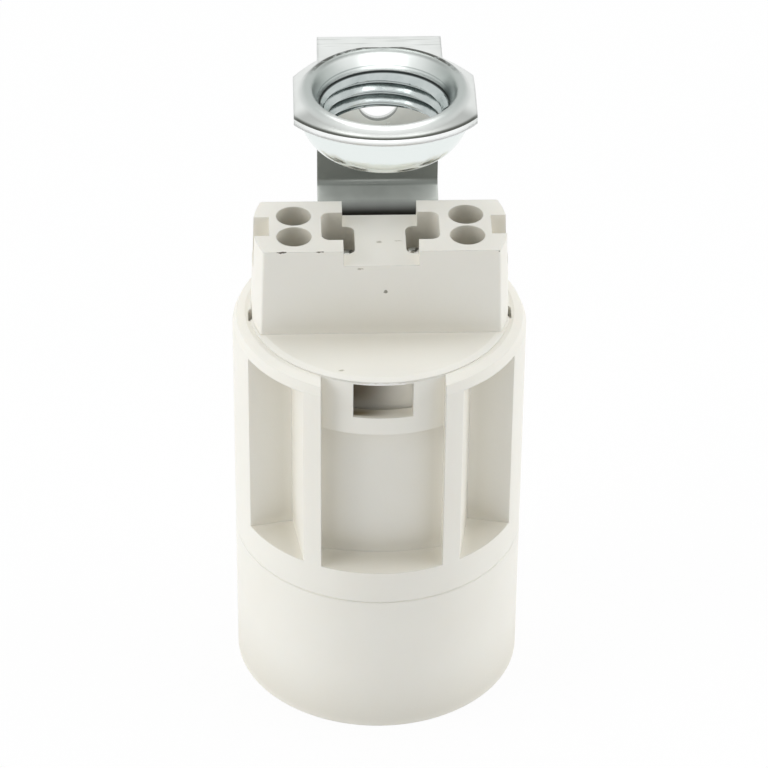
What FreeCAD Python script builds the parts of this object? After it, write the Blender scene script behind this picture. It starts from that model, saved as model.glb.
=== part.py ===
"""Candle lampholder for small screw-cap lamps, with push-in terminals and a threaded fixing strap.

Units are millimetres. +Z is the lamp axis, pointing from the mouth that the lamp enters up to
the fixing strap. The origin is the centre of the mouth's rim, and -Y is the front. The barrel
has the same channel, ribs and latch window at its front and at its back.
"""
import math
import os

import FreeCAD
import Part

V = FreeCAD.Vector

# Moulded barrel: heights from the mouth upwards
body_radius = 11.9
collar_height = 13.2
flange_height = 3.0
rib_height = 16.8
rim_height = 1.1
mouth_bevel = 0.1
rim_bevel_width = 0.7
rim_bevel_height = 0.3
seam_bevel = 0.09
mould_gap = 0.05

# Lamp socket: the wall is at the roots of the screw thread
socket_radius = 7.0
bore_step = 0.3
mouth_step = 1.6
mouth_depth = 3.5
mouth_taper = 0.6
socket_depth = 22.1
partition_thickness = 1.5
spigot_wall = 2.4
spigot_height = 1.8

# Channels, ribs and side pockets of the barrel
channel_half_width = 4.92
channel_depth = 2.95
channel_floor_radius = 19.0
band_set_back = 1.3
band_height = 4.95
band_wall = 1.2
rib_tip_width = 1.43
rib_root_width = 2.28
rib_root_depth = 4.57
pocket_slope = 12.0

# Latches between the barrel and the terminal insert
disc_rise = 0.3
disc_edge_thickness = 0.1
disc_slope = 0.5
latch_bar = 0.15
window_half_width = 2.37
window_height = 3.17
latch_pocket_depth = 0.8
latch_side_gap = 0.3
latch_set_back = 0.5
latch_lap = 0.25
latch_arm_thickness = 0.9
latch_reach = 0.7
latch_play = 0.08
hook_height = 1.0
hook_tip_height = 0.5

# Terminal block
deck_thickness = 1.8
deck_radius = 7.3
insert_gap = 0.1
disc_lap = 0.35
block_taper = 0.25
block_front = 3.95
block_back = 3.5
block_height = 7.8
block_round = 0.25
plateau_half_width = 3.0
plateau_drop = 1.35
cavity_wall = 1.5
insert_clearance = 0.9
wire_hole_radius = 1.4
wire_hole_inset = 2.02
wire_front_y = -1.68
wire_back_y = 1.35
release_slot_inner = 2.05
release_slot_web = 0.78
release_slot_front = 2.2
release_slot_back = 1.8
release_slot_round = 0.7
test_pocket_inset = 1.3
test_pocket_front = 1.5
test_pocket_back = 1.2
test_pocket_depth = 3.0
slit_width = 0.3
slit_length = 1.5
slit_y = -0.8
slit_depth = 1.0

# Terminal chambers, one for each pole
chamber_inner = 2.0
chamber_wall = 1.5
chamber_front = 2.75
chamber_back = 2.5
chamber_roof = 3.8
spring_ledge_height = 2.9
spring_ledge_width = 0.6
overlap = 0.1

# Brass contacts
contact_thickness = 0.5
contact_tail_width = 3.0
contact_slot_gap = 0.3
busbar_side_gap = 0.1
busbar_top_gap = 0.2
busbar_foot = 2.0
contact_bend = 0.5
centre_drop_x = 3.4
centre_tip_x = 1.2
centre_tip_drop = 1.9
side_drop_inset = 1.0
side_bulge = 0.5
side_bulge_start = 1.2
side_bulge_drop = 3.36
side_drop = 4.8

# Clamp springs of stainless strip
spring_thickness = 0.3
spring_width = 2.1
spring_bend = 0.8
spring_top_length = 2.4
spring_roof_gap = 0.9
spring_tip_drop = 4.2
spring_tip_gap = 0.25

# Fixing strap: folded steel strip that ends in a formed octagonal flange
strap_width = 9.85
strap_thickness = 0.7
strap_shift = 0.05
strap_stand_off = 2.75
strap_gap = 0.05
strap_slot_play = 0.35
strap_foot_depth = 6.6
strap_rise = 5.1
strap_set_back = 2.5
strap_jog_rise = 0.95
strap_bend = 0.95
strap_plate_height = 20.1
earth_hole_radius = 1.6
earth_hole_drop = 6.35
catch_half_width = 1.3
catch_height = 2.0
catch_drop = 2.4
catch_side_gap = 0.3

# Threaded ring at the strap's end, and the flange formed around it
ring_shift = 0.2
ring_bore_radius = 4.675
ring_bore_bevel = 0.25
ring_lip_wall = 0.475
ring_height = 3.15
bowl_knees = ((0.95, 0.73), (1.52, 1.9))
ring_shoulder = 0.83
crest_step = 1.345
crest_half_width = 0.28
crest_rise = 0.45
crest_foot = 0.32
crest_bevel = 0.12
funnel_step = 0.375
funnel_drop = 1.2
funnel_wall = 0.6
funnel_slope_drop = 0.18
flange_overhang = 0.25
flange_lip = 0.15
flange_bow = 1.3
flange_back_corner = 3.4
flange_corner_round = 0.3
neck_corner = 6.0
flange_droop = 0.4
flange_thickness = 0.55

# Radii and half widths that follow from the sizes above
barrel_bore_radius = socket_radius + bore_step
mouth_radius = socket_radius + mouth_step
spigot_radius = socket_radius + spigot_wall
channel_floor_depth = body_radius - channel_depth
band_radius = body_radius - band_set_back
disc_radius = band_radius - mould_gap
cavity_half_length = body_radius - cavity_wall
cavity_end_radius = disc_radius - disc_lap
cavity_half_depth = block_back
cavity_radius = deck_radius + insert_gap
block_base_radius = cavity_half_length
block_top_radius = block_base_radius - block_taper
chamber_outer = cavity_half_length - chamber_wall
wire_hole_x = chamber_outer - wire_hole_inset
release_slot_outer = wire_hole_x - wire_hole_radius - release_slot_web
test_pocket_x = block_top_radius - test_pocket_inset
side_drop_x = barrel_bore_radius - side_drop_inset
ring_lip_radius = ring_bore_radius + ring_lip_wall
funnel_radius = ring_bore_radius + funnel_step
crest_radius = ring_bore_radius + crest_step
ring_top_radius = crest_radius + ring_shoulder
flange_half_width = ring_top_radius + flange_overhang
flange_front = ring_top_radius + flange_lip
flange_front_radius = flange_half_width + flange_bow

# Levels that follow from the heights
shelf_z = collar_height + flange_height
rim_z = shelf_z + rib_height
seat_z = rim_z + rim_height
top_z = seat_z + disc_rise
window_top_z = seat_z - latch_bar
window_foot_z = window_top_z - window_height
latch_pocket_z = window_foot_z - latch_pocket_depth
partition_z = socket_depth + partition_thickness
insert_foot_z = partition_z + insert_clearance
deck_foot_z = top_z - deck_thickness
catch_top_z = deck_foot_z - catch_drop
catch_foot_z = catch_top_z - catch_height
block_top_z = top_z + block_height
plateau_z = block_top_z - plateau_drop
chamber_top_z = block_top_z - chamber_roof
plate_top_z = top_z + strap_plate_height
funnel_foot_z = plate_top_z - funnel_drop
ring_foot_z = funnel_foot_z - ring_height
insert_half_depth = cavity_half_depth - insert_gap
strap_front_y = block_back + strap_stand_off
strap_foot_z = deck_foot_z - strap_foot_depth
strap_y = strap_front_y + strap_thickness / 2
ring_x = strap_shift + ring_shift
cut = 2 * body_radius
tall = 2 * plate_top_z
touching = 1e-6


def corner_cut(before, corner, after, size):
    """Start, middle and end of the arc of that radius that rounds a corner between two lines.

    A negative size gives a straight bevel that takes that much off both lines, with no middle.
    """
    to_before = (before - corner).normalize()
    to_after = (after - corner).normalize()
    if size < 0:
        return corner - to_before * size, None, corner - to_after * size
    half_angle = to_before.getAngle(to_after) / 2
    along = size / math.tan(half_angle)
    bisector = (to_before + to_after).normalize()
    centre = corner + bisector * (size / math.sin(half_angle))
    return corner + to_before * along, centre - bisector * size, corner + to_after * along


def outline_edges(points, sizes):
    """Edges of a closed outline, each corner rounded or bevelled by its size, 0 for a sharp one."""
    ends = []
    for index, corner in enumerate(points):
        if sizes[index]:
            after = points[(index + 1) % len(points)]
            ends.append(corner_cut(points[index - 1], corner, after, sizes[index]))
        else:
            ends.append((corner, corner, corner))
    edges = []
    for index, (start, middle, end) in enumerate(ends):
        before = ends[index - 1][2]
        if before.distanceToPoint(start) > touching:
            edges.append(Part.LineSegment(before, start).toShape())
        if middle is None:
            edges.append(Part.LineSegment(start, end).toShape())
        elif start.distanceToPoint(end) > touching:
            edges.append(Part.Arc(start, middle, end).toShape())
    return edges


def profile_face(corners, plane):
    """Face inside an outline of (a, b, corner size) corners, in the plane "xy", "xz" or "yz"."""
    place = {"xy": lambda a, b: V(a, b, 0), "xz": lambda a, b: V(a, 0, b), "yz": lambda a, b: V(0, a, b)}
    points = [place[plane](a, b) for a, b, _ in corners]
    sizes = [size for _, _, size in corners]
    return Part.Face(Part.Wire(outline_edges(points, sizes)))


def turned(corners, x=0.0):
    """Solid turned about the vertical line at x from (radius, height, corner size) corners."""
    solid = profile_face(corners, "xz").revolve(V(0, 0, 0), V(0, 0, 1), 360)
    solid.translate(V(x, 0, 0))
    return solid


def prism(corners, bottom, top):
    """Upright prism on an outline of (x, y, corner size) corners."""
    face = profile_face(corners, "xy")
    face.translate(V(0, 0, bottom))
    return face.extrude(V(0, 0, top - bottom))


def block(x_low, x_high, y_low, y_high, z_low, z_high):
    """Plain box between two limits along each axis."""
    return Part.makeBox(x_high - x_low, y_high - y_low, z_high - z_low, V(x_low, y_low, z_low))


def disc(radius, bottom, top, x=0.0, y=0.0):
    """Upright cylinder between two heights."""
    return Part.makeCylinder(radius, top - bottom, V(x, y, bottom))


def folded_strip(path, bend, thickness, low, width, plane):
    """Sheet of one thickness that follows a path of straight runs and equal bends.

    The path is the sheet's middle line, given in the plane "xz" or "yz", and the sheet is
    extruded across that plane from the coordinate low over its width.
    """
    place = {"xz": lambda a, b: V(a, low, b), "yz": lambda a, b: V(low, a, b)}[plane]
    across = {"xz": V(0, width, 0), "yz": V(width, 0, 0)}[plane]
    normal_axis = across * (1 / width)
    points = [place(a, b) for a, b in path]
    sides = []
    for sign in (1, -1):
        side = []
        for index, point in enumerate(points):
            ahead = points[min(index + 1, len(points) - 1)] - points[min(index, len(points) - 2)]
            behind = points[max(index, 1)] - points[max(index - 1, 0)]
            n1 = behind.normalize().cross(normal_axis) * sign
            n2 = ahead.normalize().cross(normal_axis) * sign
            shift = (n1 + n2) * (thickness / 2 / (1 + n1.dot(n2)))
            turn = n1.cross(n2).dot(normal_axis) * sign
            radius = bend + thickness / 2 if turn > 0 else bend - thickness / 2
            side.append((point + shift, radius))
        sides.append(side)
    outline = sides[0] + sides[1][::-1]
    corners = [point for point, _ in outline]
    radii = [radius for _, radius in outline]
    for end in (0, len(path) - 1, len(path), 2 * len(path) - 1):
        radii[end] = 0
    return Part.Face(Part.Wire(outline_edges(corners, radii))).extrude(across)


def mirrored_pair(tool):
    """A front feature together with its copy at the back."""
    return tool.fuse(tool.mirror(V(0, 0, 0), V(0, 1, 0)))


def both_sides(tool):
    """A right-hand feature together with its copy on the left."""
    return tool.fuse(tool.mirror(V(0, 0, 0), V(1, 0, 0)))


def lamp_collar():
    """Plain lower ring: the mouth, the first turns of the socket and a spigot for the barrel."""
    spigot_z = collar_height + spigot_height
    return turned([
        (socket_radius, mouth_depth, 0.0),
        (mouth_radius, mouth_depth - mouth_taper, 0.0),
        (mouth_radius, 0.0, 0.0),
        (body_radius, 0.0, -mouth_bevel),
        (body_radius, collar_height, -seam_bevel),
        (spigot_radius, collar_height, 0.0),
        (spigot_radius, spigot_z, 0.0),
        (socket_radius, spigot_z, 0.0),
    ])


def channel_cutter():
    """Front channel between the two ribs, up to the band that carries the latch window."""
    floor_arc = Part.makeCylinder(
        channel_floor_radius, top_z, V(0, channel_floor_radius - channel_floor_depth, 0))
    channel = block(-channel_half_width, channel_half_width, -cut, 0, shelf_z, top_z + 1)
    lower = channel.cut(floor_arc)
    upper = channel.cut(disc(band_radius, 0, top_z + 1))
    ceiling = seat_z - band_height
    below = lower.common(block(-cut, cut, -cut, 0, shelf_z, ceiling))
    above = upper.common(block(-cut, cut, -cut, 0, ceiling, top_z + 1))
    return below.fuse(above)


def pocket_cutter():
    """Right front pocket: outside the rib and under the rim."""
    root_x = channel_half_width + rib_root_width
    tip_x = channel_half_width + rib_tip_width
    tip_y = -math.sqrt(body_radius ** 2 - tip_x ** 2)
    lean = (root_x - tip_x) / (rib_root_depth + tip_y)
    far_x = root_x + lean * (body_radius - rib_root_depth)
    reach = body_radius
    slope = math.tan(math.radians(pocket_slope))
    return prism([
        (root_x, -rib_root_depth, 0.0),
        (far_x, -body_radius, 0.0),
        (root_x + reach, -body_radius, 0.0),
        (root_x + reach, -rib_root_depth - slope * reach, 0.0),
    ], shelf_z, rim_z)


def latch_window():
    """Window through the band, with the pocket behind it that the latch arm hangs in."""
    window = block(-window_half_width, window_half_width, -cut, -deck_radius,
                   window_foot_z, window_top_z)
    pocket_half = window_half_width + latch_lap + latch_side_gap
    well = disc(band_radius - band_wall, latch_pocket_z, top_z)
    mouth = block(-pocket_half, pocket_half, -cut, 0, latch_pocket_z, top_z)
    return window.fuse(well.common(mouth))


def housing():
    """Moulded barrel with a partition that closes the lamp socket."""
    shape = turned([
        (0.0, collar_height, 0.0),
        (body_radius, collar_height, -seam_bevel),
        (body_radius, seat_z - rim_bevel_width - rim_bevel_height, 0.0),
        (body_radius - rim_bevel_height, seat_z - rim_bevel_height, 0.0),
        (body_radius - rim_bevel_width - rim_bevel_height, seat_z, 0.0),
        (0.0, seat_z, 0.0),
    ])
    shape = shape.cut(mirrored_pair(channel_cutter()))
    shape = shape.cut(mirrored_pair(both_sides(pocket_cutter())))
    shape = shape.cut(disc(spigot_radius + mould_gap, 0, collar_height + spigot_height + mould_gap))
    shape = shape.cut(disc(barrel_bore_radius, 0, socket_depth))
    cavity = block(-cavity_half_length, cavity_half_length, -cavity_half_depth, cavity_half_depth,
                   partition_z, top_z).common(disc(cavity_end_radius, partition_z, top_z))
    shape = shape.cut(cavity.fuse(disc(cavity_radius, partition_z, top_z)))
    shape = shape.cut(strap_slot(strap_foot_z - strap_gap))
    shape = shape.cut(mirrored_pair(latch_window()))
    shape = shape.cut(both_sides(slit(seat_z - slit_depth)))
    slot_half_width = contact_tail_width / 2 + contact_slot_gap
    slot_half = contact_thickness / 2 + contact_slot_gap
    for x in (-centre_drop_x, side_drop_x):
        shape = shape.cut(block(x - slot_half, x + slot_half, -slot_half_width, slot_half_width,
                                socket_depth, partition_z))
    return shape.removeSplitter()


def latch_arm():
    """Front latch: a springy arm below the disc, with a ramped hook that catches under the bar."""
    half = window_half_width + latch_lap
    outer_y = -(band_radius - band_wall) + latch_set_back
    arm = block(-half, half, outer_y, outer_y + latch_arm_thickness,
                latch_pocket_z + latch_side_gap, seat_z + disc_edge_thickness)
    hook_half = window_half_width - latch_side_gap
    hook_y = outer_y - latch_reach
    hook_z = window_top_z - latch_play
    hook = profile_face([
        (outer_y, hook_z - hook_height, 0.0),
        (hook_y, hook_z - hook_tip_height, 0.0),
        (hook_y, hook_z, 0.0),
        (outer_y, hook_z, 0.0),
    ], "yz")
    hook.translate(V(-hook_half, 0, 0))
    return arm.fuse(hook.extrude(V(2 * hook_half, 0, 0)))


def terminal_chamber():
    """Right-hand chamber for the busbar and its two springs, open towards the partition."""
    chamber = block(chamber_inner, chamber_outer, -chamber_front, chamber_back,
                    insert_foot_z - 1, chamber_top_z)
    ledge = block(0, chamber_inner + spring_ledge_width, -cut, cut,
                  insert_foot_z, insert_foot_z + spring_ledge_height)
    return chamber.cut(ledge)


def release_slot():
    """Right-hand slot through which a tool reaches the springs."""
    r = release_slot_round
    return prism([
        (release_slot_inner, -release_slot_front, r),
        (release_slot_outer, -release_slot_front, r),
        (release_slot_outer, release_slot_back, r),
        (release_slot_inner, release_slot_back, r),
    ], chamber_top_z - overlap, block_top_z + 1)


def strap_slot(foot):
    """Slot behind the block for the strap's foot, up from the given height."""
    half = strap_width / 2 + strap_slot_play
    return block(strap_shift - half, strap_shift + half, strap_front_y - strap_gap,
                 strap_front_y + strap_thickness + strap_gap, foot, top_z + 1)


def slit(foot):
    """Right-hand slit at the disc's edge, for a blade that frees the latches."""
    return block(band_radius - slit_width, band_radius, slit_y - slit_length / 2,
                 slit_y + slit_length / 2, foot, top_z + 1)


def terminal_block():
    """The block above the deck: a waisted round-ended bar with two lobes and a low middle."""
    bar = Part.makeCone(block_base_radius, block_top_radius, block_height, V(0, 0, top_z))
    bar = bar.common(block(-cut, cut, -block_front, block_back, top_z, block_top_z))
    corners = [edge for edge in bar.Edges
               if abs(edge.Vertexes[0].Z - edge.Vertexes[-1].Z) > block_height / 2]
    bar = bar.makeFillet(block_round, corners)
    return bar.cut(block(-plateau_half_width, plateau_half_width, -cut, cut, plateau_z, cut * 2))


def terminal_insert():
    """Deck, terminal block and lower body, moulded in one piece."""
    shape = turned([
        (0.0, deck_foot_z, 0.0),
        (deck_radius, deck_foot_z, 0.0),
        (deck_radius, seat_z, 0.0),
        (disc_radius, seat_z, 0.0),
        (disc_radius, seat_z + disc_edge_thickness, 0.0),
        (disc_radius - disc_slope, top_z, 0.0),
        (0.0, top_z, 0.0),
    ])
    half_length = cavity_half_length - insert_gap
    lower = block(-half_length, half_length, -insert_half_depth, insert_half_depth,
                  insert_foot_z, seat_z + disc_edge_thickness)
    lower = lower.common(disc(cavity_end_radius - insert_gap, insert_foot_z, top_z))
    shape = shape.fuse([terminal_block(), lower, mirrored_pair(latch_arm())])
    shape = shape.fuse(block(strap_shift - catch_half_width, strap_shift + catch_half_width,
                             0, strap_front_y + strap_thickness, catch_foot_z, catch_top_z))
    shape = shape.cut(strap_slot(deck_foot_z))
    cutters = [terminal_chamber(), release_slot()]
    for y in (wire_front_y, wire_back_y):
        cutters.append(disc(wire_hole_radius, chamber_top_z - overlap, block_top_z + 1, wire_hole_x, y))
    cutters.append(block(test_pocket_x, cut, -test_pocket_front, test_pocket_back,
                         block_top_z - test_pocket_depth, block_top_z + 1))
    cutters.append(slit(seat_z))
    for cutter in cutters:
        shape = shape.cut(both_sides(cutter))
    return shape.removeSplitter()


def busbar(x):
    """Upright plate of a contact, against the outer wall of its chamber."""
    return block(x - contact_thickness / 2, x + contact_thickness / 2,
                 -chamber_front + busbar_side_gap, chamber_back - busbar_side_gap,
                 insert_foot_z + busbar_foot, chamber_top_z - busbar_top_gap)


def contact_path(sign):
    """Middle line of a contact from its busbar down to the partition."""
    x = sign * (chamber_outer - contact_thickness / 2)
    run_z = partition_z + contact_thickness / 2
    return [(x, chamber_top_z - busbar_top_gap), (x, run_z)], run_z


def centre_contact():
    """Left-hand contact, with a leaf under the partition that meets the lamp's tip."""
    path, run_z = contact_path(-1)
    leaf_z = socket_depth - contact_thickness
    path += [(-centre_drop_x, run_z), (-centre_drop_x, leaf_z - contact_thickness),
             (centre_tip_x, leaf_z - centre_tip_drop)]
    tail = folded_strip(path, contact_bend, contact_thickness,
                        -contact_tail_width / 2, contact_tail_width, "xz")
    return tail.fuse(busbar(path[0][0])).removeSplitter()


def side_contact():
    """Right-hand contact, with a leaf down the socket wall that meets the lamp's shell."""
    path, run_z = contact_path(1)
    path += [(side_drop_x, run_z), (side_drop_x, socket_depth - side_bulge_start),
             (side_drop_x - side_bulge, socket_depth - side_bulge_drop),
             (side_drop_x, socket_depth - side_drop)]
    tail = folded_strip(path, contact_bend, contact_thickness,
                        -contact_tail_width / 2, contact_tail_width, "xz")
    return tail.fuse(busbar(path[0][0])).removeSplitter()


def clamp_spring(sign, y):
    """Spring for one wire: it stands on the ledge, folds over and presses towards the busbar."""
    leg_x = chamber_inner + spring_thickness / 2
    top = chamber_top_z - spring_roof_gap
    tip_x = chamber_outer - contact_thickness - spring_tip_gap
    path = [(leg_x, insert_foot_z + spring_ledge_height), (leg_x, top),
            (leg_x + spring_top_length, top), (tip_x, top - spring_tip_drop)]
    path = [(sign * x, z) for x, z in path]
    return folded_strip(path, spring_bend, spring_thickness, y - spring_width / 2, spring_width, "xz")


def flange_outline():
    """Flange seen from above: straight sides, a bowed front and diagonals back to the neck."""
    side = flange_half_width
    neck = strap_width / 2
    outline = prism([
        (-side, -cut, 0.0),
        (side, -cut, 0.0),
        (side, flange_back_corner, flange_corner_round),
        (neck - ring_shift, neck_corner, 0.0),
        (-neck - ring_shift, neck_corner, 0.0),
        (-side, flange_back_corner, flange_corner_round),
    ], 0, tall)
    bow = disc(flange_front_radius, 0, tall, 0, flange_front_radius - flange_front)
    outline = outline.common(bow)
    outline.translate(V(ring_x, 0, 0))
    return outline


def flange_sheet():
    """Formed end of the strap, with a raised crest that turns down into a funnel."""
    far = flange_half_width + flange_front
    top = plate_top_z
    slope = flange_droop / (flange_half_width - crest_radius - crest_foot)
    crest_top = top + crest_rise
    outer_foot = crest_radius + crest_half_width + crest_foot
    outer_z = top - slope * (far - outer_foot)
    sheet = turned([
        (far, outer_z, 0.0),
        (outer_foot, top, 0.0),
        (crest_radius + crest_half_width, crest_top, -crest_bevel),
        (crest_radius - crest_half_width, crest_top, -crest_bevel),
        (funnel_radius, funnel_foot_z, 0.0),
        (funnel_radius + funnel_wall, funnel_foot_z - funnel_slope_drop, 0.0),
        (crest_radius, top - funnel_slope_drop, 0.0),
        (crest_radius + crest_half_width, top - flange_thickness, 0.0),
        (outer_foot, top - flange_thickness, 0.0),
        (far, outer_z - flange_thickness, 0.0),
    ], ring_x)
    return sheet.common(flange_outline())


def fixing_strap():
    """One folded strip: foot in the insert, jog to the back, upright run and formed flange."""
    plate_z = plate_top_z - strap_thickness / 2
    jog_z = top_z + strap_rise
    back_y = strap_y + strap_set_back
    path = [(strap_y, strap_foot_z), (strap_y, jog_z), (back_y, jog_z + strap_jog_rise),
            (back_y, plate_z), (0.0, plate_z)]
    strip = folded_strip(path, strap_bend, strap_thickness,
                         strap_shift - strap_width / 2, strap_width, "yz")
    eye = disc(crest_radius + crest_half_width, plate_top_z - 2 * strap_thickness,
               plate_top_z + cut, ring_x)
    strip = strip.cut(eye).fuse(flange_sheet())
    hole_z = plate_top_z - earth_hole_drop
    strip = strip.cut(Part.makeCylinder(
        earth_hole_radius, cut, V(strap_shift, back_y - strap_thickness, hole_z), V(0, 1, 0)))
    half = catch_half_width + catch_side_gap
    strip = strip.cut(block(strap_shift - half, strap_shift + half, 0, cut,
                            catch_foot_z - catch_side_gap, catch_top_z))
    return strip.removeSplitter()


def thread_ring(sheet):
    """Bowl-shaped ring under the flange; its bore carries the fixing thread."""
    top = plate_top_z - strap_thickness / 2
    knees = [(ring_lip_radius + out, ring_foot_z + up, 0.0) for out, up in bowl_knees]
    ring = turned([
        (ring_bore_radius, ring_foot_z, -ring_bore_bevel),
        (ring_lip_radius, ring_foot_z, 0.0),
        *knees,
        (ring_top_radius, funnel_foot_z, 0.0),
        (ring_top_radius, top - flange_droop / 2, 0.0),
        (funnel_radius + funnel_wall, funnel_foot_z - funnel_slope_drop, 0.0),
        (funnel_radius, funnel_foot_z, 0.0),
        (ring_bore_radius, funnel_foot_z, 0.0),
    ], ring_x)
    return ring.cut(sheet)


def main():
    strap = fixing_strap()
    parts = {
        "lamp_collar": lamp_collar(),
        "housing": housing(),
        "terminal_insert": terminal_insert(),
        "fixing_strap": strap,
        "thread_ring": thread_ring(strap),
        "centre_contact": centre_contact(),
        "side_contact": side_contact(),
    }
    for side, sign in (("left", -1), ("right", 1)):
        for place, y in (("front", wire_front_y), ("back", wire_back_y)):
            parts[f"clamp_spring_{side}_{place}"] = clamp_spring(sign, y)
    os.makedirs("parts", exist_ok=True)
    for name, shape in parts.items():
        shape.exportStep(f"parts/{name}.step")
        print(name, len(shape.Solids), shape.isValid(), round(shape.Volume, 2))


main()
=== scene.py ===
import math

import bmesh
import bpy
from mathutils import Matrix, Vector


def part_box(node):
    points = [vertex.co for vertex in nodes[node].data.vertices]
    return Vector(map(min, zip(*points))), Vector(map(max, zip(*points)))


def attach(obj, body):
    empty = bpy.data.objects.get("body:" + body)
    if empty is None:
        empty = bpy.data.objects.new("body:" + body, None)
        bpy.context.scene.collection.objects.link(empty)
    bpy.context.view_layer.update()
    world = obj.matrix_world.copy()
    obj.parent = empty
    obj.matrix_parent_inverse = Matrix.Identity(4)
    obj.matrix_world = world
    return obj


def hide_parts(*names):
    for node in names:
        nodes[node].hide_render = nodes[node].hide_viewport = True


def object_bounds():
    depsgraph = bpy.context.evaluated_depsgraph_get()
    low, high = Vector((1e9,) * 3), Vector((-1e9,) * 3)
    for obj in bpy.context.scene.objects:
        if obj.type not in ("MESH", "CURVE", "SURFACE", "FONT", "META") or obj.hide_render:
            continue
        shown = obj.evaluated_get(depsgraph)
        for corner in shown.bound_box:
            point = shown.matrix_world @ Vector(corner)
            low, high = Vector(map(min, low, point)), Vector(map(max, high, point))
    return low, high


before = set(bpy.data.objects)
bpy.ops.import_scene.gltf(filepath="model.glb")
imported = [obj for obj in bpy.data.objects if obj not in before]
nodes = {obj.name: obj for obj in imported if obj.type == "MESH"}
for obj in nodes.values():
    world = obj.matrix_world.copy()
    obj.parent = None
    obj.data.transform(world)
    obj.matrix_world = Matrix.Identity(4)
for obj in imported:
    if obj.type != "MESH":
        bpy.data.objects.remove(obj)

MM = 0.001
cad_low, cad_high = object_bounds()

FULL_TURN = 2 * math.pi
SHARP_ANGLE = math.radians(32)
WELD = 0.0005 * MM

# Tapped ring: M10x1 thread, and the drawn bowl with its rolled lip
RING_X = 0.25 * MM
RING_PITCH = 1.0 * MM
RING_ROOT = 4.98 * MM
RING_CREST = 4.46 * MM
RING_MOUTH = 5.1 * MM
RING_LIP = 5.15 * MM
RING_LIP_ROUND = (0.08 * MM, 0.05 * MM)
RING_MOUTH_BEVEL = 0.12 * MM
BOWL_KNEE = (1.45 * MM, 0.9 * MM)
BOWL_STEPS = 24
FUNNEL_DEPTH = 1.65 * MM
RING_COLUMNS = 192
RING_TURN_PARTS = 16

# Rounded thread of a small lamp cap
LAMP_PITCH = 2.822 * MM
LAMP_ROOT = 6.99 * MM
LAMP_CREST = 6.25 * MM
LAMP_THREAD_START = 3.55 * MM
LAMP_THREAD_FADE = 1.2 * MM
LAMP_COLUMNS = 160
LAMP_TURN_PARTS = 20

# Ends of the clamp springs, seen in the release slots. The line is their side view in mm: y, and
# the height over the slot's floor. Each has its place across and how far its curl is lifted.
TONGUE_WIDTH = 0.95 * MM
TONGUE_THICKNESS = 0.22 * MM
TONGUE_FLOOR = 3.9 * MM
TONGUE_CURL = -2.3 * MM
TONGUE_LINE = ((-2.5, 1.4), (-2.1, 2.0), (-1.6, 2.3), (-1.0, 2.2), (-0.4, 1.9), (0.1, 1.2))
TONGUES = (("release_tongue_left", -2.65 * MM, -0.02 * MM),
           ("release_tongue_right", 2.62 * MM, 0.15 * MM))

# Camera: degrees round the holder, above it and rolled, its distance from a point that high on
# the lamp's axis, and how far it aims right of that point and above it, as shares of the distance
VIEW_TURN, VIEW_HEIGHT, VIEW_ROLL = -2.0635, 35.489, 0.5615
VIEW_DISTANCE = 304.5 * MM
VIEW_CENTRE = 25.0 * MM
AIM_RIGHT, AIM_UP = 0.0014, 0.0044
FOCAL_LENGTH, SENSOR_WIDTH = 173.4375, 36.0

# Soft lamps: place, width and height in metres, and power in watts
SIDE_LAMPS = (("left_softbox", (-0.59, -0.14, 0.25), 0.5, 0.5, 1.95),
              ("right_softbox", (0.6, 0.0, 0.22), 0.5, 0.5, 1.7))
TOP_LAMP = ("top_softbox", (0.0, 0.1, 0.6), 0.5, 0.4, 1.45)
FRONT_LAMP = ("front_softbox", (0.0, -0.7, 0.17), 1.0, 0.16, 1.0)

# Strength of the light from all round, and the share of plain white in the floor as it is seen
AMBIENT = 0.47
FLOOR_GLOW = 0.93
FLOOR_SIZE = 6.0
FLOOR_GAP = 0.02 * MM

# Tables of zones. A zone is its colour and its limits. A limit is a measure, the value where the
# zone starts and the value where it is full, and a "spot" is an oval: its centre, half lengths
# and softness. Lengths are in mm.

# Knocks and specks of the moulded pieces, and a painted highlight along the ragged top lip of the
# front latch window
PLASTIC_MARKS_AND_HIGHLIGHT = (
    ("#5A5244", ("spot", (-7.94, -3.95, 42.2), (0.5, 0.14, 0.12), 0.3)),
    ("#6B6353", ("spot", (-4.87, -3.95, 42.2), (0.42, 0.12, 0.11), 0.3)),
    ("#8F8878", ("spot", (9.39, -4.0, 42.1), (0.14, 0.1, 0.12), 0.3)),
    ("#8F8C80", ("spot", (0.36, -3.95, 38.36), (0.17, 0.1, 0.16), 0.3)),
    ("#BDB8AB", ("spot", (-1.71, -3.95, 40.57), (0.34, 0.1, 0.12), 0.5)),
    ("#BEB9AC", ("spot", (-0.1, -0.5, 40.85), (0.3, 0.2, 0.1), 0.5)),
    ("#C9C4B7", ("spot", (1.46, -0.38, 40.85), (0.5, 0.09, 0.1), 0.5)),
    ("#BDB9AA", ("spot", (-3.3, -9.1, 34.4), (0.3, 0.12, 0.12), 0.5)),
    ("#A7A191", ("spot", (8.88, -7.6, 33.95), (0.22, 0.18, 0.2), 0.4)),
    # painted highlight along the ragged top lip of the front latch window
    ("#FFFDF8", ("spot", (0.0, -10.6, 34.0), (2.4, 0.4, 0.16), 0.3)),
)

# Shade behind the two latch windows, below the disc, and on their sills
IN_WINDOW = ("radius", 10.4, 10.25)
BELOW_DISC = ("z", 34.0, 33.999)
WINDOW_SHADES = tuple(zone for side in (-1, 1) for zone in (
    ("#594D35", ("spot", (-2.3, 8.9 * side, 32.6), (4.8, 1.6, 3.4), 0.9), IN_WINDOW, BELOW_DISC),
    ("#857A62", ("spot", (-2.3, 9.8 * side, 30.8), (3.6, 0.9, 1.0), 0.9), IN_WINDOW),
))
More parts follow.
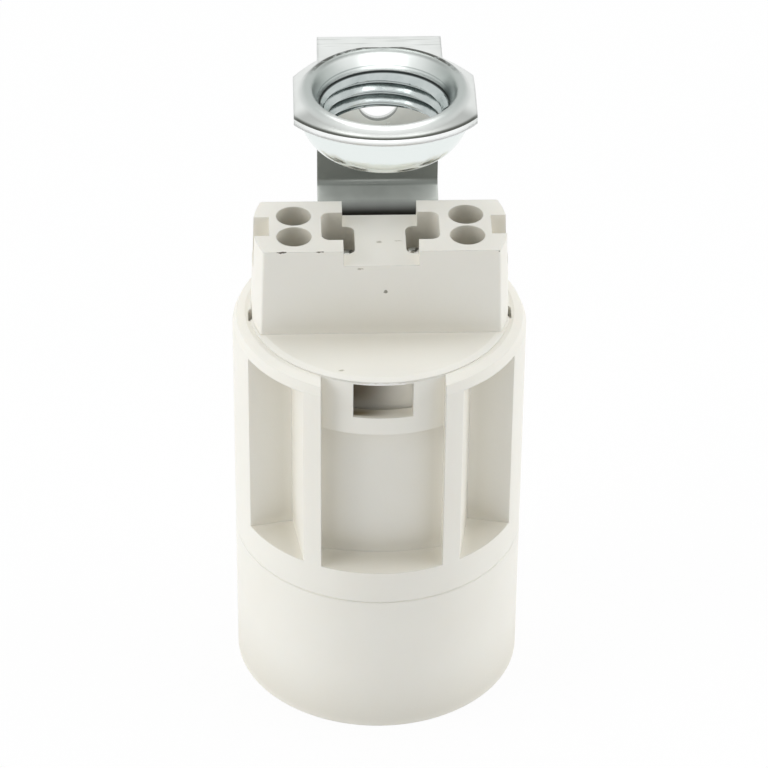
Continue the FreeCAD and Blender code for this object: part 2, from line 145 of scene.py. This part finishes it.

# The strap: with height it turns from a less metallic plate, painted darker as shade, to a bright
# plate in its lit colour, and its formed flange starts at the top. The other limits part its
# sides.
BRIGHT_PLATE_AND_LIGHT = ("z", 43.5, 48.0)
FLANGE = ("z", 51.8, 52.2)
INNER_SIDE = ("front", 0.3, 0.6)
UPPER_SIDE = ("up", 0.3, 0.5)
FRONT_HALF = ("y", -2.0, -3.5)
BACK_HALF = ("y", 1.5, 4.0)
STRAP_ZONES = (
    # inner side: painted shade above the jog, a darker band lower down, painted shade on the foot
    ("#888C87", INNER_SIDE, ("y", 7.1, 7.6), ("z", 46.4, 44.6)),
    ("#7E827D", INNER_SIDE, ("z", 42.0, 42.15), ("z", 42.6, 42.4), ("y", 7.0, 6.6)),
    ("#1F1E1A", INNER_SIDE, ("z", 40.6, 39.1)),
    # wall of the earth screw's hole, painted darker as shade
    ("#7C807B", ("spot", (0.05, 8.8, 48.15), (1.66, 1.5, 1.66), 0.03)),
    # drawn funnel painted paler as a painted highlight, painted shade on the roll where it turns
    # to the sides, a greyer band round the inside, and a painted dark reflection on its right wall
    ("#EDF1EF", FLANGE, ("radius", 5.85, 5.6)),
    ("#B2B8B5", FLANGE, ("radius", 6.9, 6.1), ("radius", 4.9, 5.7), ("aside", 2.4, 5.4)),
    ("#BEC4C2", ("radius", 5.6, 5.4), ("z", 53.7, 53.76), ("z", 53.86, 53.8)),
    ("#7F8584", ("spot", (5.3, 1.2, 53.6), (0.9, 2.0, 0.9), 0.9)),
    # foot of the funnel, where the tapped ring starts
    ("#3F4443", FLANGE, ("z", 53.48, 53.36), ("radius", 5.3, 5.15)),
    # painted highlight on the front-facing cut edge, painted shade on the land, and the line
    # that the tool left along it
    ("#F8FAF9", FLANGE, ("front", 0.5, 0.8), ("radius", 6.7, 6.8)),
    ("#B4B7B4", FLANGE, FRONT_HALF, UPPER_SIDE, ("radius", 6.45, 6.75)),
    ("#5A5C57", FLANGE, FRONT_HALF, ("edge", 8.08, 8.28), UPPER_SIDE),
    # behind the roll, a band of painted shade and the tool's nicks in it
    ("#9BA09D", FLANGE, BACK_HALF, ("radius", 5.6, 5.72), ("radius", 6.75, 6.6)),
    ("#4F514C", FLANGE, BACK_HALF, ("radius", 5.86, 5.95), ("radius", 6.3, 6.2),
     ("nicks", 0.36, 0.5)),
    # rolling scores across the plate behind the roll
    ("#C9CCC9", FLANGE, ("scores", 0.54, 0.66), ("y", 6.4, 6.9)),
)

# The flange's front edge is an arc about this y, over the ring's x
FLANGE_EDGE_Y = 1.4 * MM

# The tapped ring: a dark line where it meets the flange, and its bright outside
RING_ZONES = (
    ("#3F4443", ("z", 53.16, 53.24)),
    ("#EBF1EF", ("radius", 5.15, 5.3)),
)

# Old grease on the clamp springs
GREASE = (("#4B4841", ("soil", 0.44, 0.6)),)


def linear(hex_colour):
    """sRGB hex to linear red, green, blue and a full alpha."""
    parts = [int(hex_colour[i:i + 2], 16) / 255 for i in (1, 3, 5)]
    return [c / 12.92 if c <= 0.04045 else ((c + 0.055) / 1.055) ** 2.4 for c in parts] + [1.0]


def add(tree, kind, inputs=None, **settings):
    """Adds one node with its settings, and sets or links its inputs by name or number."""
    made = tree.nodes.new(kind)
    for name, value in settings.items():
        setattr(made, name, value)
    for name, value in (inputs or {}).items():
        socket = made.inputs[name]
        if isinstance(value, bpy.types.NodeSocket):
            tree.links.new(value, socket)
        else:
            socket.default_value = value
    return made


def blank_material(name):
    """An empty material with its output node."""
    material = bpy.data.materials.new(name)
    material.use_nodes = True
    material.node_tree.nodes.clear()
    return material, material.node_tree, add(material.node_tree, "ShaderNodeOutputMaterial")


def per(size_mm):
    """Scale of a pattern whose grain has that real size."""
    return 1 / (size_mm * MM)


def zone_mask(tree, measures, *limits):
    """1 where all the limits hold, 0 outside them, and smooth between."""
    whole = None
    for name, *numbers in limits:
        value, unit = measures[name]
        if name == "spot":
            centre, reach, soft = numbers
            local = add(tree, "ShaderNodeMapping", {
                "Vector": value, "Location": [-c / r for c, r in zip(centre, reach)],
                "Scale": [per(r) for r in reach]})
            value = add(tree, "ShaderNodeVectorMath", {
                0: local.outputs["Vector"]}, operation="LENGTH").outputs["Value"]
            start, full = 1.0, 1.0 - soft
        else:
            start, full = (number * unit for number in numbers)
        ends = {"Value": value, "From Min": min(start, full), "From Max": max(start, full)}
        if start > full:
            ends.update({"To Min": 1.0, "To Max": 0.0})
        share = add(tree, "ShaderNodeMapRange", ends,
                    interpolation_type="SMOOTHSTEP").outputs["Result"]
        if whole is not None:
            share = add(tree, "ShaderNodeMath", {
                0: whole, 1: share}, operation="MULTIPLY").outputs[0]
        whole = share
    return whole


def zoned(tree, colour, measures, zones):
    """The colour, turned to each zone's own in order where the zone's limits hold.

    measures gives each measure's socket and the unit of its limits.
    """
    for tint, *limits in zones:
        colour = add(tree, "ShaderNodeMix", {
            0: zone_mask(tree, measures, *limits), 6: colour, 7: linear(tint)},
            data_type="RGBA").outputs[2]
    return colour


def from_line(tree, place, x, y):
    """Distance from the upright line at x, y in metres."""
    apart = add(tree, "ShaderNodeVectorMath", {0: place, 1: (-x, -y, 0.0)}, operation="ADD")
    flat = add(tree, "ShaderNodeVectorMath", {
        0: apart.outputs[0], 1: (1.0, 1.0, 0.0)}, operation="MULTIPLY")
    far = add(tree, "ShaderNodeVectorMath", {0: flat.outputs[0]}, operation="LENGTH")
    return far.outputs["Value"]


def moulded_pbt():
    """Warm white PBT, injection moulded in a spark-eroded tool.

    It gives a soft satin face with a very fine grain and a slight glow just under the surface.
    Wide recesses get a little painted shade, and tight hollows a painted lighter tone that stands
    in for the walls lighting each other. A few knocks and specks mark it, a painted highlight runs
    along the top lip of the front latch window, and painted shade darkens the latch windows
    inside.
    The grain is drawn coarser than the real one, which would be too fine to show.
    """
    material, tree, output = blank_material("moulded_pbt")
    place = add(tree, "ShaderNodeTexCoord").outputs["Object"]
    flow = add(tree, "ShaderNodeTexNoise", {"Vector": place, "Scale": per(6.0), "Detail": 3.0})
    grain = add(tree, "ShaderNodeTexNoise", {"Vector": place, "Scale": per(0.11), "Detail": 2.0})
    # Painted light and shade: tight hollows are painted lighter and wide recesses darker, by how
    # open each point is
    hollow = add(tree, "ShaderNodeAmbientOcclusion", {"Distance": 1.2 * MM}, samples=8)
    shade = add(tree, "ShaderNodeMapRange", {
        "Value": hollow.outputs["AO"], "From Min": 0.2, "From Max": 0.9})
    body = add(tree, "ShaderNodeMix", {
        0: flow.outputs["Fac"], 6: linear("#EBE8DE"), 7: linear("#EFEDE5")}, data_type="RGBA")
    corner = add(tree, "ShaderNodeAmbientOcclusion", {"Distance": 9.0 * MM}, samples=8)
    open_side = add(tree, "ShaderNodeMapRange", {
        "Value": corner.outputs["AO"], "From Min": 0.42, "From Max": 0.85})
    painted_recess_shade = add(tree, "ShaderNodeMix", {
        0: open_side.outputs["Result"], 6: linear("#DFDBCF"), 7: body.outputs[2]},
        data_type="RGBA")
    painted_hollow_light = add(tree, "ShaderNodeMix", {
        0: shade.outputs["Result"], 6: linear("#F8F5EC"), 7: painted_recess_shade.outputs[2]},
        data_type="RGBA")
    wander = add(tree, "ShaderNodeTexNoise", {"Vector": place, "Scale": per(0.35), "Detail": 3.0})
    swing = add(tree, "ShaderNodeVectorMath", {
        0: wander.outputs["Color"], 1: (0.5, 0.5, 0.5)}, operation="SUBTRACT")
    ragged = add(tree, "ShaderNodeVectorMath", {
        0: swing.outputs[0], 1: (0.32 * MM,) * 3, 2: place}, operation="MULTIPLY_ADD")
    # knocks and specks, and the painted highlight on the front window's top lip
    colour = zoned(tree, painted_hollow_light.outputs[2], {"spot": (ragged.outputs[0], MM)}, PLASTIC_MARKS_AND_HIGHLIGHT)
    height = add(tree, "ShaderNodeSeparateXYZ", {0: place}).outputs[2]
    colour = zoned(tree, colour, {
        "spot": (place, MM), "z": (height, MM),
        "radius": (from_line(tree, place, 0.0, 0.0), MM)}, WINDOW_SHADES)
    rough = add(tree, "ShaderNodeMapRange", {
        "Value": grain.outputs["Fac"], "To Min": 0.40, "To Max": 0.56})
    edge = add(tree, "ShaderNodeBevel", {"Radius": 0.12 * MM}, samples=6)
    bump = add(tree, "ShaderNodeBump", {
        "Strength": 0.35, "Distance": 0.02 * MM, "Height": grain.outputs["Fac"],
        "Normal": edge.outputs["Normal"]})
    shader = add(tree, "ShaderNodeBsdfPrincipled", {
        "Base Color": colour, "Roughness": rough.outputs["Result"], "IOR": 1.54,
        "Subsurface Weight": 0.12, "Subsurface Radius": (1.0, 0.8, 0.6),
        "Subsurface Scale": 0.5 * MM, "Normal": bump.outputs["Normal"]})
    tree.links.new(shader.outputs["BSDF"], output.inputs["Surface"])
    return material


def zinc_plated_strip():
    """Cold-rolled steel strip, formed and then barrel plated with zinc.

    It gives a pale sheen on the formed flange, with a drawn funnel painted paler as a painted
    highlight and painted shade on the roll's sides and behind it, dark broken lines where the
    press tool nipped the strip, a painted highlight on the front cut edge, and, on the run below,
    a less metallic plate whose grey is darkened by painted shade. Rolling lines and a faint cloudy
    mottle run through all of it. The lines are drawn coarser than the real ones, which would be
    too fine to show.
    """
    material, tree, output = blank_material("zinc_plated_strip")
    place = add(tree, "ShaderNodeTexCoord").outputs["Object"]
    along = add(tree, "ShaderNodeMapping", {
        "Vector": place, "Scale": (per(0.12), per(9.0), per(9.0))})
    lines = add(tree, "ShaderNodeTexNoise", {
        "Vector": along.outputs["Vector"], "Scale": 1.0, "Detail": 3.0})
    cloud = add(tree, "ShaderNodeTexNoise", {
        "Vector": place, "Scale": per(1.8), "Detail": 3.0, "Distortion": 0.2})
    nicks = add(tree, "ShaderNodeTexNoise", {"Vector": place, "Scale": per(0.4), "Detail": 3.0})
    across = add(tree, "ShaderNodeMapping", {
        "Vector": place, "Scale": (per(5.0), per(0.22), per(5.0))})
    scores = add(tree, "ShaderNodeTexNoise", {
        "Vector": across.outputs["Vector"], "Scale": 1.0, "Detail": 2.0})
    x, y, z = add(tree, "ShaderNodeSeparateXYZ", {0: place}).outputs
    aside = add(tree, "ShaderNodeMath", {0: x}, operation="ABSOLUTE").outputs[0]
    facing = add(tree, "ShaderNodeNewGeometry").outputs["Normal"]
    to_front = add(tree, "ShaderNodeVectorMath", {
        0: facing, 1: (0.0, -1.0, 0.0)}, operation="DOT_PRODUCT").outputs["Value"]
    to_top = add(tree, "ShaderNodeVectorMath", {
        0: facing, 1: (0.0, 0.0, 1.0)}, operation="DOT_PRODUCT").outputs["Value"]
    measures = {
        "spot": (place, MM), "y": (y, MM), "z": (z, MM), "aside": (aside, MM),
        "radius": (from_line(tree, place, RING_X, 0.0), MM),
        "edge": (from_line(tree, place, RING_X, FLANGE_EDGE_Y), MM),
        "front": (to_front, 1.0), "up": (to_top, 1.0),
        "nicks": (nicks.outputs["Fac"], 1.0), "scores": (scores.outputs["Fac"], 1.0)}
    # Painted shade: the run below is painted a darker grey than the lit plate above it
    bright = add(tree, "ShaderNodeMix", {
        0: cloud.outputs["Fac"], 6: linear("#D8DBD8"), 7: linear("#E9ECEA")}, data_type="RGBA")
    dull = add(tree, "ShaderNodeMix", {
        0: cloud.outputs["Fac"], 6: linear("#A9ADA8"), 7: linear("#CBCFCA")}, data_type="RGBA")
    plated = zone_mask(tree, measures, BRIGHT_PLATE_AND_LIGHT)
    formed = zone_mask(tree, measures, FLANGE)
    colour = add(tree, "ShaderNodeMix", {
        0: plated, 6: dull.outputs[2], 7: bright.outputs[2]}, data_type="RGBA").outputs[2]
    colour = zoned(tree, colour, measures, STRAP_ZONES)
    rough = add(tree, "ShaderNodeMapRange", {
        "Value": cloud.outputs["Fac"], "To Min": 0.25, "To Max": 0.34})
    film = add(tree, "ShaderNodeMapRange", {
        "Value": plated, "To Min": 0.3, "To Max": 1.0})
    roll = add(tree, "ShaderNodeMapRange", {
        "Value": formed, "To Min": 0.08 * MM, "To Max": 0.55 * MM})
    edge = add(tree, "ShaderNodeBevel", {"Radius": roll.outputs["Result"]}, samples=8)
    bump = add(tree, "ShaderNodeBump", {
        "Strength": 0.2, "Distance": 0.01 * MM, "Height": lines.outputs["Fac"],
        "Normal": edge.outputs["Normal"]})
    shader = add(tree, "ShaderNodeBsdfPrincipled", {
        "Base Color": colour, "Metallic": film.outputs["Result"],
        "Roughness": rough.outputs["Result"], "Normal": bump.outputs["Normal"]})
    tree.links.new(shader.outputs["BSDF"], output.inputs["Surface"])
    return material


def bright_zinc():
    """Drawn and tapped steel with bright blue-white zinc plate.

    It gives a near mirror with a cool tint, broken by faint turning lines and a soft ripple, with
    painted shade in the thread's roots.
    The lines are drawn coarser than the real ones, which would be too fine to show.
    """
    material, tree, output = blank_material("bright_zinc")
    place = add(tree, "ShaderNodeTexCoord").outputs["Object"]
    cloud = add(tree, "ShaderNodeTexNoise", {
        "Vector": place, "Scale": per(2.2), "Detail": 3.0, "Distortion": 0.4})
    across = add(tree, "ShaderNodeMapping", {
        "Vector": place, "Scale": (per(5.0), per(5.0), per(0.12))})
    lines = add(tree, "ShaderNodeTexNoise", {
        "Vector": across.outputs["Vector"], "Scale": 1.0, "Detail": 2.0})
    colour = add(tree, "ShaderNodeMix", {
        0: cloud.outputs["Fac"], 6: linear("#9EA8A7"), 7: linear("#D9DFDE")}, data_type="RGBA")
    # Painted shade darkens the thread's roots, where the surface is hemmed in
    root = add(tree, "ShaderNodeAmbientOcclusion", {"Distance": 0.45 * MM}, samples=8)
    clean_and_unshaded = add(tree, "ShaderNodeMapRange", {
        "Value": root.outputs["AO"], "From Min": 0.35, "From Max": 0.8})
    colour = add(tree, "ShaderNodeMix", {
        0: clean_and_unshaded.outputs["Result"], 6: linear("#4A504F"), 7: colour.outputs[2]}, data_type="RGBA")
    height = add(tree, "ShaderNodeSeparateXYZ", {0: place}).outputs[2]
    colour = zoned(tree, colour.outputs[2], {
        "z": (height, MM), "radius": (from_line(tree, place, RING_X, 0.0), MM)}, RING_ZONES)
    rough = add(tree, "ShaderNodeMapRange", {
        "Value": cloud.outputs["Fac"], "To Min": 0.12, "To Max": 0.22})
    ripple = add(tree, "ShaderNodeTexNoise", {"Vector": place, "Scale": per(1.1), "Detail": 1.0})
    soft = add(tree, "ShaderNodeBump", {
        "Strength": 0.5, "Distance": 0.06 * MM, "Height": ripple.outputs["Fac"]})
    bump = add(tree, "ShaderNodeBump", {
        "Strength": 0.25, "Distance": 0.01 * MM, "Height": lines.outputs["Fac"],
        "Normal": soft.outputs["Normal"]})
    shader = add(tree, "ShaderNodeBsdfPrincipled", {
        "Base Color": colour, "Metallic": 1.0, "Roughness": rough.outputs["Result"],
        "Normal": bump.outputs["Normal"]})
    tree.links.new(shader.outputs["BSDF"], output.inputs["Surface"])
    return material


def rolled_brass():
    """Half-hard brass strip, stamped and folded.

    It gives a warm yellow metal with rolling lines and a dull bloom in patches. The lines are
    drawn coarser than the real ones, which would be too fine to show.
    """
    material, tree, output = blank_material("rolled_brass")
    place = add(tree, "ShaderNodeTexCoord").outputs["Object"]
    along = add(tree, "ShaderNodeMapping", {
        "Vector": place, "Scale": (per(8.0), per(0.1), per(8.0))})
    lines = add(tree, "ShaderNodeTexNoise", {
        "Vector": along.outputs["Vector"], "Scale": 1.0, "Detail": 2.0})
    bloom = add(tree, "ShaderNodeTexNoise", {"Vector": place, "Scale": per(1.5), "Detail": 3.0})
    colour = add(tree, "ShaderNodeMix", {
        0: bloom.outputs["Fac"], 6: linear("#B08D45"), 7: linear("#D8BC74")}, data_type="RGBA")
    rough = add(tree, "ShaderNodeMapRange", {
        "Value": bloom.outputs["Fac"], "To Min": 0.24, "To Max": 0.4})
    bump = add(tree, "ShaderNodeBump", {
        "Strength": 0.3, "Distance": 0.01 * MM, "Height": lines.outputs["Fac"]})
    shader = add(tree, "ShaderNodeBsdfPrincipled", {
        "Base Color": colour.outputs[2], "Metallic": 1.0, "Roughness": rough.outputs["Result"],
        "Normal": bump.outputs["Normal"]})
    tree.links.new(shader.outputs["BSDF"], output.inputs["Surface"])
    return material


def spring_strip():
    """Hard stainless spring strip.

    It gives a slightly warm grey metal with tight rolling lines and patches of old grease.
    The lines are drawn coarser than the real ones, which would be too fine to show.
    """
    material, tree, output = blank_material("spring_strip")
    place = add(tree, "ShaderNodeTexCoord").outputs["Object"]
    along = add(tree, "ShaderNodeMapping", {
        "Vector": place, "Scale": (per(6.0), per(0.06), per(6.0))})
    lines = add(tree, "ShaderNodeTexNoise", {
        "Vector": along.outputs["Vector"], "Scale": 1.0, "Detail": 2.0})
    clean_and_unshaded = add(tree, "ShaderNodeMix", {
        0: lines.outputs["Fac"], 6: linear("#A7A59E"), 7: linear("#C4C2BC")}, data_type="RGBA")
    soil = add(tree, "ShaderNodeTexNoise", {"Vector": place, "Scale": per(0.5), "Detail": 3.0})
    colour = zoned(tree, clean_and_unshaded.outputs[2], {"soil": (soil.outputs["Fac"], 1.0)}, GREASE)
    rough = add(tree, "ShaderNodeMapRange", {
        "Value": lines.outputs["Fac"], "To Min": 0.2, "To Max": 0.34})
    shader = add(tree, "ShaderNodeBsdfPrincipled", {
        "Base Color": colour, "Metallic": 1.0, "Roughness": rough.outputs["Result"]})
    tree.links.new(shader.outputs["BSDF"], output.inputs["Surface"])
    return material


def keep_piece(name, mesh_builder, material):
    """Turns a finished bmesh into a piece of the holder that rides on its body."""
    mesh = bpy.data.meshes.new(name)
    mesh_builder.to_mesh(mesh)
    mesh_builder.free()
    mesh.materials.append(material)
    piece = bpy.data.objects.new(name, mesh)
    bpy.context.scene.collection.objects.link(piece)
    mesh.shade_smooth()
    mesh.set_sharp_from_angle(angle=SHARP_ANGLE)
    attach(piece, "root")
    return piece


def lathe(builder, x, outline, columns):
    """Adds the surface that an open outline makes when turned about the upright line at x.

    The outline is a row of pairs, each a radius and a height.
    """
    rings = []
    for step in range(columns):
        angle = FULL_TURN * step / columns
        c, s = math.cos(angle), math.sin(angle)
        rings.append([builder.verts.new((x + r * c, r * s, z)) for r, z in outline])
    for step in range(columns):
        here, there = rings[step], rings[(step + 1) % columns]
        for k in range(len(outline) - 1):
            builder.faces.new((here[k], there[k], there[k + 1], here[k + 1]))


def thread_wall(builder, x, shape, pitch, low, high, open_radius, columns, parts):
    """Adds the wall of a threaded hole, whose ridge climbs one pitch in each turn.

    shape gives the radius at a share of the pitch, and open_radius the least radius at a height,
    for the bevels at the hole's two ends.
    """
    turns = math.ceil((high - low) / pitch) + 1
    rings = []
    for step in range(columns):
        angle = FULL_TURN * step / columns
        c, s = math.cos(angle), math.sin(angle)
        ring = []
        for k in range(-parts, turns * parts + 1):
            z = min(max(low + pitch * (k / parts + step / columns), low), high)
            share = ((z - low) / pitch - step / columns) % 1.0
            r = max(shape(share), open_radius(z))
            ring.append(builder.verts.new((x + r * c, r * s, z)))
        rings.append(ring)
    rows = len(rings[0])
    for step in range(columns):
        here = rings[step]
        there = rings[(step + 1) % columns]
        shift = parts if step == columns - 1 else 0
        for k in range(rows - 1 - shift):
            quad = (here[k + shift], here[k + shift + 1], there[k + 1], there[k])
            if len({tuple(round(v / MM, 5) for v in corner.co) for corner in quad}) > 2:
                builder.faces.new(quad)
    bmesh.ops.remove_doubles(builder, verts=builder.verts, dist=WELD)


def sharp_thread(root, crest, flat=0.12):
    """Radius over one pitch of a 60 degree thread with small flats at crest and root."""
    def radius(share):
        from_crest = abs(share - 0.5) * 2
        ramp = min(max((from_crest - flat) / (1 - 2 * flat), 0.0), 1.0)
        return crest + (root - crest) * ramp
    return radius


def round_thread(root, crest):
    """Radius over one pitch of a rounded lamp-cap thread."""
    return lambda share: root - (root - crest) * (0.5 - 0.5 * math.cos(FULL_TURN * share))


def ring_bowl(material):
    """The tapped ring under the flange: a smooth drawn bowl outside and a full thread inside."""
    low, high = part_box("thread_ring")
    x = (low.x + high.x) / 2
    top_radius = (high.x - low.x) / 2
    foot = low.z
    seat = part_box("fixing_strap")[1].z - FUNNEL_DEPTH
    mouth = RING_MOUTH - RING_MOUTH_BEVEL
    inward, upward = RING_LIP_ROUND
    start, end = Vector((RING_LIP, foot + upward)), Vector((top_radius, seat))
    knee = Vector((RING_LIP + BOWL_KNEE[0], foot + BOWL_KNEE[1]))
    outline = [(mouth, foot), (RING_LIP - inward, foot), start]
    for k in range(1, BOWL_STEPS + 1):
        t = k / BOWL_STEPS
        outline.append(start * (1 - t) ** 2 + knee * 2 * t * (1 - t) + end * t * t)
    outline.append((top_radius, high.z))
    builder = bmesh.new()
    lathe(builder, x, outline, RING_COLUMNS)

    def open_radius(z):
        return max(mouth - (z - foot), RING_MOUTH - (seat - z), 0.0)
    thread_wall(builder, x, sharp_thread(RING_ROOT, RING_CREST), RING_PITCH, foot, seat,
                open_radius, RING_COLUMNS, RING_TURN_PARTS)
    piece = keep_piece("tapped_ring", builder, material)
    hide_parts("thread_ring")
    return piece


def release_tongue(name, x, tip, material):
    """End of a clamp spring: a thin strip that leaves the front wall of its slot and curls."""
    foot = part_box("terminal_insert")[1].z - TONGUE_FLOOR
    builder = bmesh.new()
    rows = []
    for y, z in TONGUE_LINE:
        lift = tip if y * MM > TONGUE_CURL else 0.0
        rows.append([builder.verts.new((x + side * TONGUE_WIDTH / 2, y * MM, foot + z * MM + lift))
                     for side in (-1, 0, 1)])
    for here, there in zip(rows, rows[1:]):
        for k in range(2):
            builder.faces.new((here[k], here[k + 1], there[k + 1], there[k]))
    piece = keep_piece(name, builder, material)
    leaf = piece.modifiers.new("leaf", "SOLIDIFY")
    leaf.thickness = TONGUE_THICKNESS
    smooth = piece.modifiers.new("smooth", "SUBSURF")
    smooth.levels = smooth.render_levels = 2
    return piece


def lamp_thread(material):
    """Rounded thread that the lamp's cap screws into, moulded inside the collar."""
    low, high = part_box("lamp_collar")
    start = low.z + LAMP_THREAD_START
    builder = bmesh.new()

    def open_radius(z):
        fade = min((z - start) / LAMP_THREAD_FADE, 1.0)
        return LAMP_ROOT - (LAMP_ROOT - LAMP_CREST) * fade
    thread_wall(builder, 0.0, round_thread(LAMP_ROOT, LAMP_CREST), LAMP_PITCH, start, high.z,
                open_radius, LAMP_COLUMNS, LAMP_TURN_PARTS)
    return keep_piece("lamp_thread", builder, material)


def softbox(target, name, place, width, height, power):
    """Rectangular soft lamp of the studio, aimed at a point."""
    data = bpy.data.lights.new(name, "AREA")
    data.shape = "RECTANGLE"
    data.size, data.size_y, data.energy = width, height, power
    lamp = bpy.data.objects.new(name, data)
    lamp.location = place
    lamp.rotation_mode = "QUATERNION"
    lamp.rotation_quaternion = (Vector(target) - Vector(place)).to_track_quat("-Z", "Y")
    bpy.context.scene.collection.objects.link(lamp)
    return lamp


def white_seen(tree):
    """1 for rays that should find the plain white background, 0 for light falling on things."""
    path = add(tree, "ShaderNodeLightPath")
    first = add(tree, "ShaderNodeMath", {
        0: path.outputs["Is Camera Ray"], 1: path.outputs["Is Glossy Ray"]}, operation="MAXIMUM")
    both = add(tree, "ShaderNodeMath", {
        0: first.outputs[0], 1: path.outputs["Is Transmission Ray"]}, operation="MAXIMUM")
    return both.outputs[0]


def studio(centre):
    """Pale floor, white surroundings and soft lamps."""
    material, tree, output = blank_material("pale_paper_floor")
    fibre = add(tree, "ShaderNodeTexNoise", {
        "Vector": add(tree, "ShaderNodeTexCoord").outputs["Object"], "Scale": per(0.8)})
    tone = add(tree, "ShaderNodeMix", {
        0: fibre.outputs["Fac"], 6: linear("#F4F4F4"), 7: linear("#F8F8F8")}, data_type="RGBA")
    paper = add(tree, "ShaderNodeBsdfDiffuse", {"Color": tone.outputs[2]})
    glow = add(tree, "ShaderNodeEmission", {"Color": linear("#FFFFFF"), "Strength": 1.0})
    share = add(tree, "ShaderNodeMath", {0: white_seen(tree), 1: FLOOR_GLOW}, operation="MULTIPLY")
    mixed = add(tree, "ShaderNodeMixShader", {
        0: share.outputs[0], 1: paper.outputs[0], 2: glow.outputs[0]})
    tree.links.new(mixed.outputs[0], output.inputs["Surface"])
    bpy.ops.mesh.primitive_plane_add(size=FLOOR_SIZE, location=(0, 0, cad_low.z - FLOOR_GAP))
    floor = bpy.context.object
    floor.name = "studio_floor"
    floor.data.materials.append(material)

    world = bpy.data.worlds.new("studio_world")
    bpy.context.scene.world = world
    world.use_nodes = True
    tree = world.node_tree
    tree.nodes.clear()
    seen = add(tree, "ShaderNodeBackground", {"Color": linear("#FFFFFF"), "Strength": 1.0})
    ambient = add(tree, "ShaderNodeBackground", {"Color": linear("#F6F8FA"), "Strength": AMBIENT})
    mixed = add(tree, "ShaderNodeMixShader", {
        0: white_seen(tree), 1: ambient.outputs[0], 2: seen.outputs[0]})
    add(tree, "ShaderNodeOutputWorld", {"Surface": mixed.outputs[0]})

    # The side lamps would show as squares in the metal, and the front one lights only the metal
    for lamp in SIDE_LAMPS:
        softbox(centre, *lamp).visible_glossy = False
    softbox(centre, *TOP_LAMP)
    softbox(centre, *FRONT_LAMP).visible_diffuse = False


def camera():
    """Long-lens camera in front of the holder and above it."""
    centre = Vector((0.0, 0.0, VIEW_CENTRE))
    azimuth, elevation, tilt = (math.radians(a) for a in (VIEW_TURN, VIEW_HEIGHT, VIEW_ROLL))
    back = Vector((math.sin(azimuth) * math.cos(elevation),
                   -math.cos(azimuth) * math.cos(elevation), math.sin(elevation)))
    upright = Vector((0.0, 0.0, 1.0))
    right = (-back).cross(upright).normalized()
    up = right.cross(-back)
    forward = (-back + right * AIM_RIGHT + up * AIM_UP).normalized()
    level = forward.cross(upright).normalized()
    above = level.cross(forward)
    x_axis = level * math.cos(tilt) + above * math.sin(tilt)
    y_axis = above * math.cos(tilt) - level * math.sin(tilt)
    data = bpy.data.cameras.new("camera")
    data.lens, data.sensor_width = FOCAL_LENGTH, SENSOR_WIDTH
    data.clip_start, data.clip_end = 0.01, 20.0
    made = bpy.data.objects.new("camera", data)
    turned = Matrix((x_axis, y_axis, -forward)).transposed().to_4x4()
    made.matrix_world = Matrix.Translation(centre + back * VIEW_DISTANCE) @ turned
    bpy.context.scene.collection.objects.link(made)
    bpy.context.scene.camera = made


def main():
    """Dresses the CAD pieces, adds the scene's own, and sets up the studio and the camera."""
    plastic, strip, zinc = moulded_pbt(), zinc_plated_strip(), bright_zinc()
    brass, spring = rolled_brass(), spring_strip()
    finishes = {
        "lamp_collar": plastic, "housing": plastic, "terminal_insert": plastic,
        "fixing_strap": strip, "thread_ring": zinc,
        "centre_contact": brass, "side_contact": brass,
    }
    for name, node in nodes.items():
        node.data.materials.clear()
        node.data.materials.append(finishes.get(name, spring))
    ring_bowl(zinc)
    lamp_thread(plastic)
    for name, x, tip in TONGUES:
        release_tongue(name, x, tip, spring)
    centre = (cad_low + cad_high) / 2
    studio(centre)
    camera()
    bpy.context.scene.view_settings.view_transform = "Standard"
    bpy.context.view_layer.update()


main()
